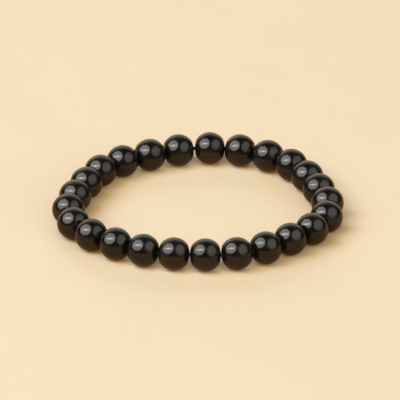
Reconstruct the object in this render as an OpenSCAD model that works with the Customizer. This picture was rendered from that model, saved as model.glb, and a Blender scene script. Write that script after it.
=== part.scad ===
// Stretch bracelet: round drilled stone beads on one elastic cord, lying flat as a slightly uneven loop.
// Millimetres, +Z up. The origin is on the surface it lies on, under the middle of the loop's box.

/* [Beads] */
// Number of beads on the cord
bead_count = 25; // [18:1:32]
// Diameter of a bead
bead_d = 8.2; // [6:0.1:12]
// Width of a bead's flattened ends, as a share of its diameter
end_share = 0.58; // [0.4:0.01:0.65]
// Radius of their domes, as a share of its diameter
dome_share = 0.7; // [0.65:0.05:3]
// Clearance between neighbouring beads where they are nearest
bead_gap = 0.03; // [0.02:0.01:0.2]
// Slack beside the first bead, where the cord shows
slack_gap = 0.28; // [0:0.01:0.6]

/* [Drilling] */
// Diameter of the hole through a bead
bore_d = 1.4; // [1.2:0.1:2]
// Width of the bevelled rim at both ends of the hole
rim_w = 0.15; // [0.05:0.05:0.4]

/* [Cord] */
// Thickness of the elastic cord
cord_d = 0.9; // [0.4:0.1:0.9]

/* [Loop] */
// Direction of the first bead, in degrees from +X about the loop's middle
first_angle = 85; // [0:1:359]
// How far the outline is drawn out to an oval
oval_size = 1.2; // [0:0.05:2]
// Direction of the oval's long axis, in degrees
oval_place = 12; // [-90:1:90]
// How far the outline leans to a rounded three-sided form
three_size = 0.8; // [0:0.05:1.2]
// Direction of one of its three corners, in degrees
three_place = -37; // [-60:1:60]
// How far the outline leans to a rounded five-sided form
five_size = 0.5; // [0:0.05:0.8]
// Direction of one of its five corners, in degrees
five_place = -12; // [-36:1:36]
// How far the outline leans to a rounded seven-sided form
seven_size = 0.3; // [0:0.05:0.5]
// Direction of one of its seven corners, in degrees
seven_place = -13; // [-26:1:26]

/* [Hidden] */

bead_r = bead_d / 2;
bore_r = bore_d / 2;
end_r = bead_r * end_share;
dome_r = bead_d * dome_share;
// Height of the upper dome's own centre on the hole's axis: below the bead's middle, so negative
dome_z = sqrt(bead_r * bead_r - end_r * end_r) - sqrt(dome_r * dome_r - end_r * end_r);
// Height at which the hole leaves the dome
mouth_z = dome_z + sqrt(dome_r * dome_r - bore_r * bore_r);
// The curves of the sphere, the hole and its rims
round_fn = 96;
// Sides of the cord's tube
cord_sides = 8;
// Passes in which a step or a radius settles
settle_passes = 6;
// Small overlap with which a cutter leaves the stone
cut_past = 0.2;
// How far from a bead's middle the cord leaves the hole's axis to reach the next hole
held_l = 0.9 * mouth_z;
// Angle from a bead's hole to the edge of its flattened end, seen from the bead's middle
edge_turn = asin(end_r / bead_r);
// The same, seen from the dome's own centre
dome_turn = asin(end_r / dome_r);
mean_step = 360 / bead_count;

stone_colour = [0.05, 0.045, 0.04];
cord_colour = [0.1, 0.1, 0.1];

function bead_name(i) = str("bead_", i < 9 ? "0" : "", i + 1);

// Each neighbour of the last bead is the first one again
function wrap(i) = (i + bead_count) % bead_count;

// One wave of the outline: count crests round the loop, one of them at place
function wave(angle, count, size, place) = size * cos(count * (angle - place));

// Point on the line of the beads' middles, seen from above
function line_point(angle, base_r) =
    (base_r
        + wave(angle, 2, oval_size, oval_place)
        + wave(angle, 3, three_size, three_place)
        + wave(angle, 5, five_size, five_place)
        + wave(angle, 7, seven_size, seven_place))
    * [cos(angle), sin(angle)];

function heading(direction) = atan2(direction.y, direction.x);

// Direction of the line at a bead there: that from one neighbour to the other
function line_heading(angle, base_r) =
    heading(line_point(angle + mean_step, base_r) - line_point(angle - mean_step, base_r));

// Turn between the holes of two beads on the line, from 0 to 360 degrees
function turn_between(angle_1, angle_2, base_r) =
    let (turn = line_heading(angle_2, base_r) - line_heading(angle_1, base_r))
        turn < 0 ? turn + 360 : turn;

// How far a bead reaches in a direction that much off its hole: by its dome, the dome's edge or the ball
function reach(off) =
    off < dome_turn ? dome_r + dome_z * cos(off)
    : bead_r * cos(max(0, edge_turn - off));

// Distance between the middles of two beads with that turn between their holes
function pitch(turn) = 2 * reach(turn / 2) + bead_gap;

// Angle of the next bead: the step is corrected until the two middles are a pitch and a slack apart
function next_angle(angle, base_r, slack, step = mean_step, passes = settle_passes) =
    passes == 0 ? angle + step
    : let (
        reached = norm(line_point(angle + step, base_r) - line_point(angle, base_r)),
        wanted = pitch(turn_between(angle, angle + step, base_r)) + slack
    )
        next_angle(angle, base_r, slack, step * wanted / reached, passes - 1);

// Angles of all the beads, and after them the angle at which the string ends
function string_angles(base_r, i = 0, angle = first_angle) =
    i == bead_count ? [angle]
    : concat(
        [angle],
        string_angles(base_r, i + 1, next_angle(angle, base_r, i == 0 ? slack_gap : 0))
    );

// Base radius at which the string ends where it began
function closing_r(base_r, passes = settle_passes) =
    passes == 0 ? base_r
    : let (angles = string_angles(base_r))
        closing_r(base_r * (angles[bead_count] - first_angle) / 360, passes - 1);

loop_r = closing_r(bead_count * pitch(mean_step) / (2 * PI));
loop_angles = string_angles(loop_r);
loop_points = [for (i = [0:bead_count - 1]) line_point(loop_angles[i], loop_r)];

// Middle of the loop's box, which the origin lies under
loop_xs = [for (p = loop_points) p.x];
loop_ys = [for (p = loop_points) p.y];
loop_middle = [max(loop_xs) + min(loop_xs), max(loop_ys) + min(loop_ys)] / 2;

// Middle of bead i
function bead_at(i) = concat(loop_points[wrap(i)] - loop_middle, [bead_r]);

// Direction of the hole through bead i: along the line between its two neighbours
function bore_dir(i) =
    let (across = bead_at(i + 1) - bead_at(i - 1))
        across / norm(across);

module bead(i) {
    rim_h = rim_w + cut_past;
    color(stone_colour)
        translate(bead_at(i))
        rotate([0, 0, heading(bore_dir(i))])
        rotate([0, 90, 0])
        difference() {
            intersection() {
                sphere(r = bead_r, $fn = round_fn);
                translate([0, 0, dome_z]) sphere(r = dome_r, $fn = round_fn);
                translate([0, 0, -dome_z]) sphere(r = dome_r, $fn = round_fn);
            }
            cylinder(h = bead_d + cut_past, r = bore_r, center = true, $fn = round_fn);
            for (end = [0, 1])
                mirror([0, 0, end])
                translate([0, 0, mouth_z - rim_w])
                cylinder(h = rim_h, r1 = bore_r, r2 = bore_r + rim_h, $fn = round_fn);
        }
}

// One ring of the cord's tube, upright and square to its direction
function cord_ring(middle, direction) =
    let (side = [direction.y, -direction.x, 0] / norm(direction))
        [for (k = [0:cord_sides - 1])
            let (angle = 360 * k / cord_sides)
                middle + cord_d / 2 * (cos(angle) * side + sin(angle) * [0, 0, 1])];

// A closed tube, with a ring near both mouths of each hole
module elastic_cord() {
    rings = [
        for (i = [0:bead_count - 1])
            for (end = [-1, 1])
                cord_ring(bead_at(i) + end * held_l * bore_dir(i), bore_dir(i))
    ];
    points = [for (ring = rings) for (p = ring) p];
    ring_count = len(rings);
    faces = [
        for (ring = [0:ring_count - 1])
            for (k = [0:cord_sides - 1])
                let (
                    here = ring * cord_sides,
                    next = (ring + 1) % ring_count * cord_sides,
                    up = (k + 1) % cord_sides
                )
                    for (corners = [[here + k, next + k, next + up], [here + k, next + up, here + up]])
                        corners
    ];
    color(cord_colour)
        polyhedron(points = points, faces = faces);
}

for (i = [0:bead_count - 1])
    bead(i);
elastic_cord();
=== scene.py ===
"""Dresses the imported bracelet: polished black onyx beads on a stretch cord, lying on a cream surface."""
import math

import bpy
from mathutils import Matrix, Vector


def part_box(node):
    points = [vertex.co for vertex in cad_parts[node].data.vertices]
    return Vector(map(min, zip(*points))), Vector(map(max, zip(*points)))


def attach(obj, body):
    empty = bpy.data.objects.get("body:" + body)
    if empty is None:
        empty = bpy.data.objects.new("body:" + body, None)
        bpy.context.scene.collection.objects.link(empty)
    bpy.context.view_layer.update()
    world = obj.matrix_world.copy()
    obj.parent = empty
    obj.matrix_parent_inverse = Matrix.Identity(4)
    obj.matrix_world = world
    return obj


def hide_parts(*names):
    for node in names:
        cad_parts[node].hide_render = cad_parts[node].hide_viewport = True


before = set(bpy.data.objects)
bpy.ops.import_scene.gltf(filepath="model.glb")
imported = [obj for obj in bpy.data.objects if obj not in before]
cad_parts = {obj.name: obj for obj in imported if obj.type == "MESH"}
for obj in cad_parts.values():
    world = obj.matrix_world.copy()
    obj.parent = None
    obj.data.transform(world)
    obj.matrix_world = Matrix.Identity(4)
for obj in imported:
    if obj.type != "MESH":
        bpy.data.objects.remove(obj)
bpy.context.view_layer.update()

MM = 0.001
RIGHT = Vector((1.0, 0.0, 0.0))
UP = Vector((0.0, 0.0, 1.0))

# Camera: how far it is, how steeply it looks down, the width it takes in at the loop, its sensor's width in
# millimetres, and where it aims
CAMERA_DISTANCE = 1.5
CAMERA_ELEVATION = math.radians(26.55)
VIEW_WIDTH = 0.10013
SENSOR = 36.0
AIM = Vector((0.48, 0.336, 4.1)) * MM
TOWARDS_CAMERA = Vector((0.0, -math.cos(CAMERA_ELEVATION), math.sin(CAMERA_ELEVATION)))
IMAGE_UP = TOWARDS_CAMERA.cross(RIGHT)

# Beads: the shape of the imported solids, made a hair smaller. The width of their flattened ends and the
# radius of the domes there are shares of the diameter
END_SHARE = 0.58
DOME_SHARE = 0.7
BORE_R = 0.7 * MM
RIM_W = 0.15 * MM
MOUTH_R = BORE_R + RIM_W
HAIR = 0.003 * MM

# The rounding of the beads' edges and rims, and their mesh
EDGE_ROUND = 0.1 * MM
RIM_ROUND = 0.05 * MM
BALL_STEPS = 26
EDGE_STEPS = 6
DOME_STEPS = 3
ROUND_STEPS = 96

# Cord: its radius, how far it keeps to a hole's axis from a bead's middle, and its mesh
CORD_R = 0.45 * MM
HELD_LENGTH = 3.43 * MM
CORD_SIDES = 24
CORD_HELD_STEPS = 4
CORD_FREE_STEPS = 6

# Corners of a face as steps along its grid's (rows, columns), in the order that turns it outwards
BEAD_CORNERS = ((0, 0), (1, 0), (1, 1), (0, 1))
CORD_CORNERS = ((0, 0), (0, 1), (1, 1), (1, 0))

# Softboxes that only the stone mirrors, eight-sided and drawn as a bead shows them. Middles and half sizes
# are (right, up) in shares of the bead's radius. lean draws a box out from lower left to upper right, soft
# is the share over which its edge fades, and a spot on it is (middle, half size, slope, radiance)
SOFTBOXES = {
    "key_softbox": {
        "middle": (-0.337, 0.30),
        "half": (0.304, 0.311),
        "lean": 0.07,
        "soft": 0.045,
        "colour": (1.0, 0.985, 0.94),
        "radiance": 2.5,
        "spots": (
            ((-0.317, 0.298), (0.185, 0.037), 0.06, 11.0),
            ((-0.32, 0.41), (0.33, 0.165), 0.0, 0.9),
            ((-0.32, 0.185), (0.29, 0.117), 0.0, 0.9),
        ),
    },
    "side_softbox": {
        "middle": (0.361, 0.234),
        "half": (0.258, 0.317),
        "lean": 0.0,
        "soft": 0.22,
        "colour": (1.0, 0.90, 0.80),
        "radiance": 0.85,
        "spots": (
            ((0.332, 0.244), (0.29, 0.234), 0.0, 0.6),
        ),
    },
}
BOX_SIDES = 8
# How far the boxes stand from the loop, and how much larger than the box its light is
BOX_AWAY = 0.6
BOX_MARGIN = 1.12

# The room that the stone mirrors: dark, with a pale wall behind and the table's edge in front
ROOM_COLOUR = (0.027, 0.025, 0.015)
WALL_COLOUR = (0.95, 0.855, 0.75)
# How much the wall darkens from left to right
WALL_TILT = 0.35
# Elevations between which the wall fades upwards, how far its middle is right of straight behind, and how
# far from there it fades to both sides, all in degrees
WALL_UP = (25.0, 66.0)
WALL_MIDDLE = -1.0
WALL_ASIDE = (26.0, 62.0)
# How much sooner the wall fades to the side for each degree higher up
WALL_CORNER = 0.25
APRON_COLOUR = (0.40, 0.19, 0.06)
# Elevations between which the table's edge fades upwards, in degrees
APRON_UP = (-5.0, 15.0)

# Soft lights on the table: azimuth from the right, elevation and angle across in degrees, and what each
# gives the lit floor
FLOOR_LIGHTS = {
    "window": (205.0, 48.0, 44.0, (0.339, 0.344, 0.314)),
    "back_light": (96.0, 23.0, 42.0, (0.106, 0.101, 0.093)),
    "front_light": (262.0, 45.0, 50.0, (0.345, 0.209, 0.042)),
    "right_light": (320.0, 25.0, 45.0, (0.079, 0.082, 0.074)),
}

# The floor: as it is lit; a warm glow painted into it, painted light that no shadow takes away; and a
# darker, warmer colour for where the stone mirrors it, painted shade in the beads' reflections
FLOOR_COLOUR = (0.62, 0.52, 0.37)
FLOOR_PAINTED_FILL = (0.08, 0.035, 0.012)
FLOOR_PAINTED_MIRRORED_SHADE = (0.365, 0.208, 0.088)
FLOOR_ROUGHNESS = 0.9
FLOOR_HALF = 6.0
# Its fall of light to the right and to the back: from one place to another, and the light's shares there
SHADE_ACROSS = (-0.06, 0.09, 1.0, 0.962)
SHADE_BACK = (-0.12, 0.12, 1.012, 0.985)
# Its broad and its fine mottling: times a metre, detail and depth
BROAD_MOTTLING = (45.0, 2.0, 0.05)
FINE_MOTTLING = (420.0, 3.0, 0.035)

# Onyx: its black and its faint clouds, and the ground stone in the hole
ONYX_BLACK = (0.0045, 0.0043, 0.0035)
ONYX_CLOUDED = (0.0074, 0.0071, 0.0057)
ONYX_GROUND = (0.035, 0.033, 0.030)
ONYX_IOR = 1.54
# Its roughness where it is polished best and least, and what grinding adds
ONYX_ROUGHNESS = (0.035, 0.10)
GROUND_ROUGHNESS = 0.5
# The size and detail of its clouds, its uneven polish and its waves, and the noise values between which the
# clouds and the polish change
CLOUD_SIZE = 3.0 * MM
CLOUD_DETAIL = 5.0
CLOUD_LIMITS = (0.38, 0.68)
POLISH_SIZE = 0.9 * MM
POLISH_DETAIL = 3.0
POLISH_LIMITS = (0.3, 0.75)
WAVY_SIZE = 3.5 * MM
WAVY_DETAIL = 1.0
WAVY_DEPTH = 0.025 * MM

# Elastic: its two blacks, the darker one painted shade in the grooves between the strands, and its twisted
# strands, counted round the cord and along the whole loop
ELASTIC_DARK = (0.008, 0.0075, 0.007)
ELASTIC_LIGHT = (0.020, 0.0185, 0.017)
STRANDS = 8
STRAND_TURNS = 150
STRAND_DEPTH = 0.012 * MM
# Its roughness between the strands and on them
ELASTIC_ROUGHNESS = (0.75, 0.5)


class Tree:
    """The emptied node tree of a material, light or world, with short ways to add nodes."""

    def __init__(self, owner):
        owner.use_nodes = True
        self.nodes = owner.node_tree.nodes
        self.links = owner.node_tree.links
        self.nodes.clear()

    def new(self, kind):
        """A new node of that kind."""
        return self.nodes.new(kind)

    def feed(self, value, socket):
        """Gives a socket its value: an output, a colour of three shares, a vector or a number."""
        if isinstance(value, bpy.types.NodeSocket):
            self.links.new(value, socket)
        elif isinstance(value, tuple):
            socket.default_value = (*value, 1.0)
        else:
            socket.default_value = value

    def math(self, operation, *values):
        """The result of a Math node."""
        node = self.new("ShaderNodeMath")
        node.operation = operation
        for value, socket in zip(values, node.inputs):
            self.feed(value, socket)
        return node.outputs[0]

    def vector(self, operation, *values):
        """The result of a Vector Math node: its vector, or its value for a dot product."""
        node = self.new("ShaderNodeVectorMath")
        node.operation = operation
        for value, socket in zip(values, node.inputs):
            self.feed(value, socket)
        return node.outputs["Value" if operation == "DOT_PRODUCT" else "Vector"]

    def scaled(self, vector, scale):
        """A vector times a number."""
        node = self.new("ShaderNodeVectorMath")
        node.operation = "SCALE"
        self.feed(vector, node.inputs[0])
        self.feed(scale, node.inputs["Scale"])
        return node.outputs["Vector"]

    def split(self, vector):
        """The three parts of a vector."""
        node = self.new("ShaderNodeSeparateXYZ")
        self.feed(vector, node.inputs[0])
        return node.outputs

    def ramp(self, value, low, high, out_low=0.0, out_high=1.0):
        """Smooth step of a value from low to high."""
        node = self.new("ShaderNodeMapRange")
        node.interpolation_type = "SMOOTHSTEP"
        self.feed(value, node.inputs["Value"])
        self.feed(low, node.inputs["From Min"])
        self.feed(high, node.inputs["From Max"])
        self.feed(out_low, node.inputs["To Min"])
        self.feed(out_high, node.inputs["To Max"])
        return node.outputs["Result"]

    def noise(self, place, scale, detail):
        """A noise value at that place, about 0.5 on average."""
        node = self.new("ShaderNodeTexNoise")
        self.feed(place, node.inputs["Vector"])
        self.feed(scale, node.inputs["Scale"])
        self.feed(detail, node.inputs["Detail"])
        return node.outputs["Fac"]

    def mixed(self, factor, one, other):
        """One colour where the factor is 0 and the other where it is 1."""
        node = self.new("ShaderNodeMix")
        node.data_type = "RGBA"
        self.feed(factor, node.inputs["Factor"])
        self.feed(one, node.inputs["A"])
        self.feed(other, node.inputs["B"])
        return node.outputs["Result"]

    def bumped(self, height, depth):
        """A normal that follows a height from 0 to 1 times that depth."""
        node = self.new("ShaderNodeBump")
        self.feed(height, node.inputs["Height"])
        self.feed(1.0, node.inputs["Strength"])
        self.feed(depth, node.inputs["Distance"])
        return node.outputs["Normal"]

    def background(self, colour, strength):
        """Light of that colour from every way."""
        node = self.new("ShaderNodeBackground")
        self.feed(colour, node.inputs["Color"])
        self.feed(strength, node.inputs["Strength"])
        return node.outputs[0]

    def both(self, one, other):
        """Two lights together."""
        node = self.new("ShaderNodeAddShader")
        self.feed(one, node.inputs[0])
        self.feed(other, node.inputs[1])
        return node.outputs[0]

    def end(self, shader, output):
        """Ends the tree in an output node of that kind."""
        self.feed(shader, self.new(output).inputs["Surface"])


def make_camera():
    """The camera at the photograph's angle, with a long lens."""
    data = bpy.data.cameras.new("camera")
    data.sensor_width = SENSOR
    data.lens = SENSOR * CAMERA_DISTANCE / VIEW_WIDTH
    camera = bpy.data.objects.new("camera", data)
    bpy.context.scene.collection.objects.link(camera)
    camera.location = AIM + TOWARDS_CAMERA * CAMERA_DISTANCE
    camera.rotation_euler = TOWARDS_CAMERA.to_track_quat("Z", "Y").to_euler()
    bpy.context.scene.camera = camera


def wall_strength(tree, across, behind, elevation):
    """How strongly the wall behind the loop shows: about 1 in its middle and 0 past its edges."""
    azimuth = tree.math("ARCTAN2", across, behind)
    aside = tree.math("ABSOLUTE", tree.math("SUBTRACT", azimuth, math.radians(WALL_MIDDLE)))
    aside = tree.math("MULTIPLY_ADD", elevation, WALL_CORNER, aside)
    outline = tree.math("MULTIPLY",
                        tree.ramp(elevation, *map(math.radians, WALL_UP), 1.0, 0.0),
                        tree.ramp(aside, *map(math.radians, WALL_ASIDE), 1.0, 0.0))
    return tree.math("MULTIPLY", outline, tree.math("MULTIPLY_ADD", across, -WALL_TILT, 1.0))


def apron_strength(tree, behind, elevation):
    """How strongly the table's edge in front of the loop shows."""
    return tree.math("MULTIPLY",
                     tree.ramp(elevation, *map(math.radians, APRON_UP), 1.0, 0.0),
                     tree.math("LESS_THAN", behind, 0.0))


def make_world():
    """A dark studio with a pale wall and the table's edge, which only mirrored rays see."""
    world = bpy.data.worlds.new("studio")
    bpy.context.scene.world = world
    tree = Tree(world)
    across, behind, upward = tree.split(tree.new("ShaderNodeTexCoord").outputs["Generated"])
    elevation = tree.math("ARCSINE", upward)
    room = tree.background(ROOM_COLOUR, 1.0)
    wall = tree.background(WALL_COLOUR, wall_strength(tree, across, behind, elevation))
    apron = tree.background(APRON_COLOUR, apron_strength(tree, behind, elevation))
    mix = tree.new("ShaderNodeMixShader")
    tree.feed(tree.new("ShaderNodeLightPath").outputs["Is Glossy Ray"], mix.inputs[0])
    tree.feed(tree.both(room, tree.both(wall, apron)), mix.inputs[2])
    tree.end(mix.outputs[0], "ShaderNodeOutputWorld")


def mirrored(right, up):
    """Where the ray goes that a bead mirrors to the camera from that place on its disc."""
    facing = math.sqrt(max(0.0, 1.0 - right * right - up * up))
    normal = right * RIGHT + up * IMAGE_UP + facing * TOWARDS_CAMERA
    return 2.0 * facing * normal - TOWARDS_CAMERA


class BoxPlane:
    """The plane of a softbox, with the middle, two axes and size of its light, seen from the loop."""

    def __init__(self, middle, half):
        self.facing = mirrored(*middle)
        spread = math.hypot(*middle)
        out_x, out_y = middle[0] / spread, middle[1] / spread

        # two points of the light's rim in line with the middle of the disc, and two across that line
        reach = max(half) * BOX_MARGIN
        far = self.meets(middle[0] + reach * out_x, middle[1] + reach * out_y)
        near = self.meets(middle[0] - reach * out_x, middle[1] - reach * out_y)
        one = self.meets(middle[0] - reach * out_y, middle[1] + reach * out_x)
        other = self.meets(middle[0] + reach * out_y, middle[1] - reach * out_x)

        self.middle = (far + near) / 2
        self.along_x = (far - near).normalized()
        self.along_y = self.facing.cross(self.along_x).normalized()
        self.size_x = (far - near).length
        self.size_y = (one - other).length

    def meets(self, right, up):
        """Where a ray that a bead mirrors from that place on its disc meets the plane."""
        way = mirrored(right, up)
        return way / way.dot(self.facing) * BOX_AWAY


def plane_light(name, plane):
    """A rectangular area light of radiance 1 on that plane, which faces the loop; returns its data."""
    data = bpy.data.lights.new(name, "AREA")
    data.shape = "RECTANGLE"
    data.size = plane.size_x
    data.size_y = plane.size_y
    data.energy = math.pi * plane.size_x * plane.size_y
    light = bpy.data.objects.new(name, data)
    bpy.context.scene.collection.objects.link(light)
    axes = Matrix((plane.along_x, plane.along_y, plane.along_x.cross(plane.along_y))).transposed()
    light.matrix_world = Matrix.Translation(AIM + plane.middle) @ axes.to_4x4()
    light.visible_camera = False
    light.visible_diffuse = False
    return data


def place_on_disc(tree, plane):
    """Where a bead shows a point of a softbox, as (right, up) in shares of its radius."""
    split = tree.split(tree.new("ShaderNodeNewGeometry").outputs["Parametric"])
    offset = tree.vector("ADD",
                         tree.scaled(plane.along_x * plane.size_x, tree.math("SUBTRACT", split[0], 0.5)),
                         tree.scaled(plane.along_y * plane.size_y, tree.math("SUBTRACT", split[1], 0.5)))
    way = tree.vector("NORMALIZE", tree.vector("ADD", offset, plane.middle))
    normal = tree.vector("NORMALIZE", tree.vector("ADD", way, TOWARDS_CAMERA))
    return tree.vector("DOT_PRODUCT", normal, RIGHT), tree.vector("DOT_PRODUCT", normal, IMAGE_UP)


def squared_sum(tree, one, other):
    """The sum of two squares."""
    return tree.math("ADD", tree.math("MULTIPLY", one, one), tree.math("MULTIPLY", other, other))


def measured(tree, seen, middle, half, slope=0.0):
    """A place from the middle of a form, in shares of its half size; slope turns its long axis up."""
    right = tree.math("SUBTRACT", seen[0], middle[0])
    up = tree.math("SUBTRACT", seen[1], middle[1])
    up = tree.math("MULTIPLY_ADD", right, -slope, up)
    return tree.math("DIVIDE", right, half[0]), tree.math("DIVIDE", up, half[1])


def box_outline(tree, place, lean, soft):
    """1 inside a regular outline that fits a square from -1 to 1, fading over soft at its edge."""
    right, up = place
    x = tree.math("MULTIPLY_ADD", up, -lean, right)
    y = tree.math("MULTIPLY_ADD", right, -lean, up)
    distance = tree.math("SQRT", squared_sum(tree, x, y))
    turned = tree.math("PINGPONG", tree.math("ARCTAN2", y, x), math.pi / BOX_SIDES)
    edge = tree.math("MULTIPLY", distance, tree.math("COSINE", turned))
    return tree.ramp(edge, 1.0 - soft, 1.0 + soft, 1.0, 0.0)


def bright_spot(tree, seen, middle, half, slope, radiance):
    """A soft oval spot on a softbox."""
    right, up = measured(tree, seen, middle, half, slope)
    fall = tree.math("MULTIPLY", squared_sum(tree, right, up), -1.0)
    return tree.math("MULTIPLY", tree.math("EXPONENT", fall), radiance)


def make_softbox(name, middle, half, lean, soft, colour, radiance, spots):
    """A flat softbox that only the stone mirrors, drawn as a bead shows it."""
    plane = BoxPlane(middle, half)
    tree = Tree(plane_light(name, plane))
    seen = place_on_disc(tree, plane)
    strength = radiance
    for spot in spots:
        strength = tree.math("ADD", strength, bright_spot(tree, seen, *spot))
    outline = box_outline(tree, measured(tree, seen, middle, half), lean, soft)
    emission = tree.new("ShaderNodeEmission")
    tree.feed(colour, emission.inputs["Color"])
    tree.feed(tree.math("MULTIPLY", strength, outline), emission.inputs["Strength"])
    tree.end(emission.outputs[0], "ShaderNodeOutputLight")


def way_to(azimuth, elevation):
    """Unit vector at that azimuth from the right and that elevation, both in degrees."""
    level = math.cos(math.radians(elevation))
    return Vector((level * math.cos(math.radians(azimuth)),
                   level * math.sin(math.radians(azimuth)),
                   math.sin(math.radians(elevation))))


def make_floor_lights():
    """The soft lights on the table, which the stone does not mirror."""
    for name, (azimuth, elevation, across, given) in FLOOR_LIGHTS.items():
        way = way_to(azimuth, elevation)
        data = bpy.data.lights.new(name, "SUN")
        data.angle = math.radians(across)
        wanted = [math.pi * share / (own * way.z) for share, own in zip(given, FLOOR_COLOUR)]
        data.energy = max(wanted)
        data.color = [value / data.energy for value in wanted]
        light = bpy.data.objects.new(name, data)
        bpy.context.scene.collection.objects.link(light)
        light.rotation_euler = way.to_track_quat("Z", "Y").to_euler()
        light.visible_glossy = False


def mesh_object(name, verts, faces):
    """A smooth mesh object in the scene, at the origin."""
    mesh = bpy.data.meshes.new(name)
    mesh.from_pydata(verts, [], faces)
    mesh.shade_smooth()
    made = bpy.data.objects.new(name, mesh)
    bpy.context.scene.collection.objects.link(made)
    return made


def mottled(tree, place, times, detail, depth):
    """A faint mottling round 1."""
    return tree.math("MULTIPLY_ADD", tree.noise(place, times, detail), depth, 1.0 - depth / 2)


def floor_material():
    """Matt cream, faintly mottled, with painted shade a little darker to the right and back, and a darker,
    warmer colour painted where mirrored, as shade in the beads' reflections.
    """
    material = bpy.data.materials.new("cream_surface")
    tree = Tree(material)
    shader = tree.new("ShaderNodeBsdfPrincipled")
    place = tree.new("ShaderNodeNewGeometry").outputs["Position"]
    across, behind = tree.split(place)[:2]
    fall = tree.math("MULTIPLY", tree.ramp(across, *SHADE_ACROSS), tree.ramp(behind, *SHADE_BACK))
    mottling = tree.math("MULTIPLY",
                         mottled(tree, place, *BROAD_MOTTLING), mottled(tree, place, *FINE_MOTTLING))
    mirrored_ray = tree.new("ShaderNodeLightPath").outputs["Is Glossy Ray"]
    # Painted reflection shade: mirrored rays see the floor darker and warmer than the camera does
    colour = tree.mixed(mirrored_ray, FLOOR_COLOUR, FLOOR_PAINTED_MIRRORED_SHADE)
    tree.feed(tree.scaled(colour, tree.math("MULTIPLY", fall, mottling)), shader.inputs["Base Color"])
    # Painted light: the floor glows warm, so that its shadows keep a warm fill
    tree.feed(FLOOR_PAINTED_FILL, shader.inputs["Emission Color"])
    tree.feed(1.0, shader.inputs["Emission Strength"])
    tree.feed(FLOOR_ROUGHNESS, shader.inputs["Roughness"])
    tree.feed(0.0, shader.inputs["Specular IOR Level"])
    tree.end(shader.outputs[0], "ShaderNodeOutputMaterial")
    return material


def make_floor():
    """The plain cream surface that the loop lies on."""
    corners = [(x * FLOOR_HALF, y * FLOOR_HALF, 0.0) for x, y in ((-1, -1), (1, -1), (1, 1), (-1, 1))]
    floor = mesh_object("floor", corners, [(0, 1, 2, 3)])
    floor.data.materials.append(floor_material())


def spoke(direction, share):
    """Unit vector square to a level direction, that share of a turn round it."""
    side = UP.cross(direction).normalized()
    angle = 2 * math.pi * share
    return math.cos(angle) * side + math.sin(angle) * UP


def closed_grid(rows, columns, corners):
    """Faces of a grid of points that closes both ways, each from its corners' steps."""
    return [
        tuple((row + down) % rows * columns + (column + aside) % columns for down, aside in corners)
        for row in range(rows)
        for column in range(columns)
    ]


def bead_profile(radius):
    """Half section of a drilled bead, as (along the hole, out from it), from its middle into its bore."""
    end_r = radius * END_SHARE
    dome_r = 2 * radius * DOME_SHARE
    dome_at = math.sqrt(radius**2 - end_r**2) - math.sqrt(dome_r**2 - end_r**2)

    # the circle that rounds the edge lies inside both the ball and the dome
    ball_in = radius - EDGE_ROUND
    dome_in = dome_r - EDGE_ROUND
    edge_along = (dome_at**2 + ball_in**2 - dome_in**2) / (2 * dome_at)
    edge_out = math.sqrt(ball_in**2 - edge_along**2)
    ball_turn = math.atan2(edge_out, edge_along)
    dome_turn = math.atan2(edge_out, edge_along - dome_at)

    points = []
    for step in range(BALL_STEPS):
        angle = math.pi / 2 + (ball_turn - math.pi / 2) * step / BALL_STEPS
        points.append((radius * math.cos(angle), radius * math.sin(angle)))
    for step in range(EDGE_STEPS + 1):
        angle = ball_turn + (dome_turn - ball_turn) * step / EDGE_STEPS
        points.append((edge_along + EDGE_ROUND * math.cos(angle), edge_out + EDGE_ROUND * math.sin(angle)))
    for step in range(1, DOME_STEPS + 1):
        out = edge_out + (MOUTH_R + RIM_ROUND - edge_out) * step / DOME_STEPS
        points.append((dome_at + math.sqrt(dome_r**2 - out**2), out))

    # the bevelled rim and the bore
    mouth = dome_at + math.sqrt(dome_r**2 - MOUTH_R**2)
    points.append((mouth - RIM_ROUND / 2, MOUTH_R))
    points.append((mouth - RIM_W + RIM_ROUND / 2, BORE_R + RIM_ROUND / 2))
    points.append((mouth - RIM_W - RIM_ROUND, BORE_R))
    points.append((mouth / 2, BORE_R))
    return points


def make_bead(name, middle, direction, radius):
    """A drilled bead: its section turned round the hole's axis, with the ground stone in the hole marked."""
    half = bead_profile(radius)
    section = half + [(0.0, BORE_R)] + [(-along, out) for along, out in half[:0:-1]]
    verts = []
    for step in range(ROUND_STEPS):
        outwards = spoke(direction, step / ROUND_STEPS)
        verts += [middle + along * direction + out * outwards for along, out in section]
    bead = mesh_object(name, verts, closed_grid(ROUND_STEPS, len(section), BEAD_CORNERS))
    ground = [1.0 if out <= MOUTH_R else 0.0 for along, out in section]
    bead.data.attributes.new("ground", "FLOAT", "POINT").data.foreach_set("value", ground * ROUND_STEPS)
    return bead


def cord_path(middles, directions):
    """The cord's course as (point, direction): straight inside the holes and bent between them."""
    path = []
    count = len(middles)
    for place in range(count):
        middle, direction = middles[place], directions[place]
        for step in range(CORD_HELD_STEPS):
            held = HELD_LENGTH * (2 * step / CORD_HELD_STEPS - 1)
            path.append((middle + direction * held, direction))
        next_middle, next_direction = middles[(place + 1) % count], directions[(place + 1) % count]
        start = middle + direction * HELD_LENGTH
        end = next_middle - next_direction * HELD_LENGTH
        span = (end - start).length
        for step in range(CORD_FREE_STEPS):
            t = step / CORD_FREE_STEPS
            point = ((2 * t**3 - 3 * t**2 + 1) * start + (t**3 - 2 * t**2 + t) * span * direction
                     + (-2 * t**3 + 3 * t**2) * end + (t**3 - t**2) * span * next_direction)
            path.append((point, direction.lerp(next_direction, t).normalized()))
    return path


def unroll(mesh, rows):
    """Lays the cord's surface out flat, once along the loop and once round the cord."""
    layer = mesh.uv_layers.new(name="unrolled")
    places = [
        ((row + down) / rows, (side + aside) / CORD_SIDES)
        for row in range(rows)
        for side in range(CORD_SIDES)
        for down, aside in CORD_CORNERS
    ]
    for corner, place in zip(layer.data, places):
        corner.uv = place


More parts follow.
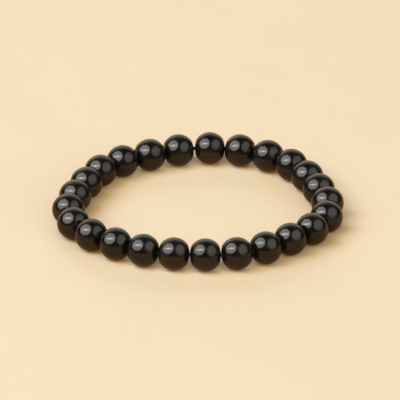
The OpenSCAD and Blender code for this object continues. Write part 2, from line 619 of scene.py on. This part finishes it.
def make_cord(middles, directions):
    """The elastic cord: a closed tube along its course."""
    path = cord_path(middles, directions)
    verts = [
        point + CORD_R * spoke(direction, side / CORD_SIDES)
        for point, direction in path
        for side in range(CORD_SIDES)
    ]
    cord = mesh_object("stretch_cord", verts, closed_grid(len(path), CORD_SIDES, CORD_CORNERS))
    unroll(cord.data, len(path))
    return cord


def onyx_material():
    """Polished black onyx: faint clouds, a slightly wavy and uneven polish, and matt stone in the hole."""
    material = bpy.data.materials.new("black_onyx")
    tree = Tree(material)
    shader = tree.new("ShaderNodeBsdfPrincipled")
    place = tree.new("ShaderNodeTexCoord").outputs["Object"]
    attribute = tree.new("ShaderNodeAttribute")
    attribute.attribute_name = "ground"
    ground = attribute.outputs["Fac"]
    clouds = tree.ramp(tree.noise(place, 1 / CLOUD_SIZE, CLOUD_DETAIL), *CLOUD_LIMITS)
    stone = tree.mixed(clouds, ONYX_BLACK, ONYX_CLOUDED)
    tree.feed(tree.mixed(ground, stone, ONYX_GROUND), shader.inputs["Base Color"])
    polish = tree.ramp(tree.noise(place, 1 / POLISH_SIZE, POLISH_DETAIL), *POLISH_LIMITS, *ONYX_ROUGHNESS)
    tree.feed(tree.math("MULTIPLY_ADD", ground, GROUND_ROUGHNESS, polish), shader.inputs["Roughness"])
    waves = tree.noise(place, 1 / WAVY_SIZE, WAVY_DETAIL)
    tree.feed(tree.bumped(waves, WAVY_DEPTH), shader.inputs["Normal"])
    tree.feed(ONYX_IOR, shader.inputs["IOR"])
    tree.end(shader.outputs[0], "ShaderNodeOutputMaterial")
    return material


def elastic_material():
    """Black elastic: twisted satin strands, with shade painted between them."""
    material = bpy.data.materials.new("black_elastic")
    tree = Tree(material)
    shader = tree.new("ShaderNodeBsdfPrincipled")
    unrolled = tree.split(tree.new("ShaderNodeTexCoord").outputs["UV"])
    turn = tree.math("MULTIPLY_ADD", unrolled[0], STRAND_TURNS, tree.math("MULTIPLY", unrolled[1], STRANDS))
    swing = tree.math("SINE", tree.math("MULTIPLY", turn, 2 * math.pi))
    strand = tree.math("MULTIPLY_ADD", swing, 0.5, 0.5)
    # Painted shade: the colour is darker where the strands' bump sinks between them
    tree.feed(tree.mixed(strand, ELASTIC_DARK, ELASTIC_LIGHT), shader.inputs["Base Color"])
    tree.feed(tree.ramp(strand, 0.0, 1.0, *ELASTIC_ROUGHNESS), shader.inputs["Roughness"])
    tree.feed(tree.bumped(strand, STRAND_DEPTH), shader.inputs["Normal"])
    tree.end(shader.outputs[0], "ShaderNodeOutputMaterial")
    return material


def dress(piece, material, node):
    """Gives a piece its material, hides the CAD node that it stands in for and ties it to the body."""
    piece.data.materials.append(material)
    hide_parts(node)
    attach(piece, "root")


def make_bracelet():
    """The beads in their order along the cord, each drilled along the line between its neighbours."""
    names = sorted(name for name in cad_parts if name.startswith("bead_"))
    boxes = [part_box(name) for name in names]
    middles = [(low + high) / 2 for low, high in boxes]
    radius = max((high.z - low.z) / 2 for low, high in boxes) - HAIR
    count = len(names)
    directions = [(middles[(place + 1) % count] - middles[place - 1]).normalized() for place in range(count)]
    onyx = onyx_material()
    for name, middle, direction in zip(names, middles, directions):
        dress(make_bead("onyx_" + name, middle, direction, radius), onyx, name)
    dress(make_cord(middles, directions), elastic_material(), "elastic_cord")


def make_studio():
    """The camera, all that gives light and the floor."""
    make_camera()
    make_world()
    for name, softbox in SOFTBOXES.items():
        make_softbox(name, **softbox)
    make_floor_lights()
    make_floor()
    bpy.context.scene.view_settings.view_transform = "Standard"


make_studio()
make_bracelet()
